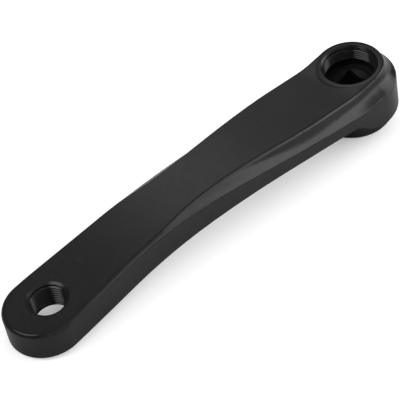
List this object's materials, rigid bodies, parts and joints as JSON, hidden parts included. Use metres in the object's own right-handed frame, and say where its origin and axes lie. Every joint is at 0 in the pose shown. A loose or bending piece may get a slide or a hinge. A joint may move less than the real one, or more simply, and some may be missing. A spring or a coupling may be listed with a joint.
{
  "type": "bicycle crank arm",
  "caption": "Left-hand forged aluminium bicycle crank arm in satin black, with a square taper spindle socket, an extractor thread and a threaded pedal eye.",
  "frame": {"origin": "on the spindle axis, in the plane of the inner face of the boss", "axes": "+X along the arm towards the pedal, +Z along the spindle axis away from the bicycle, +Y completes a right-handed frame"},
  "size_m": [0.2068, 0.0374, 0.0466],
  "materials": {
    "body": "satin"
  },
  "bodies": {
    "root": {"crank_arm": "body"}
  },
  "joints": []
}
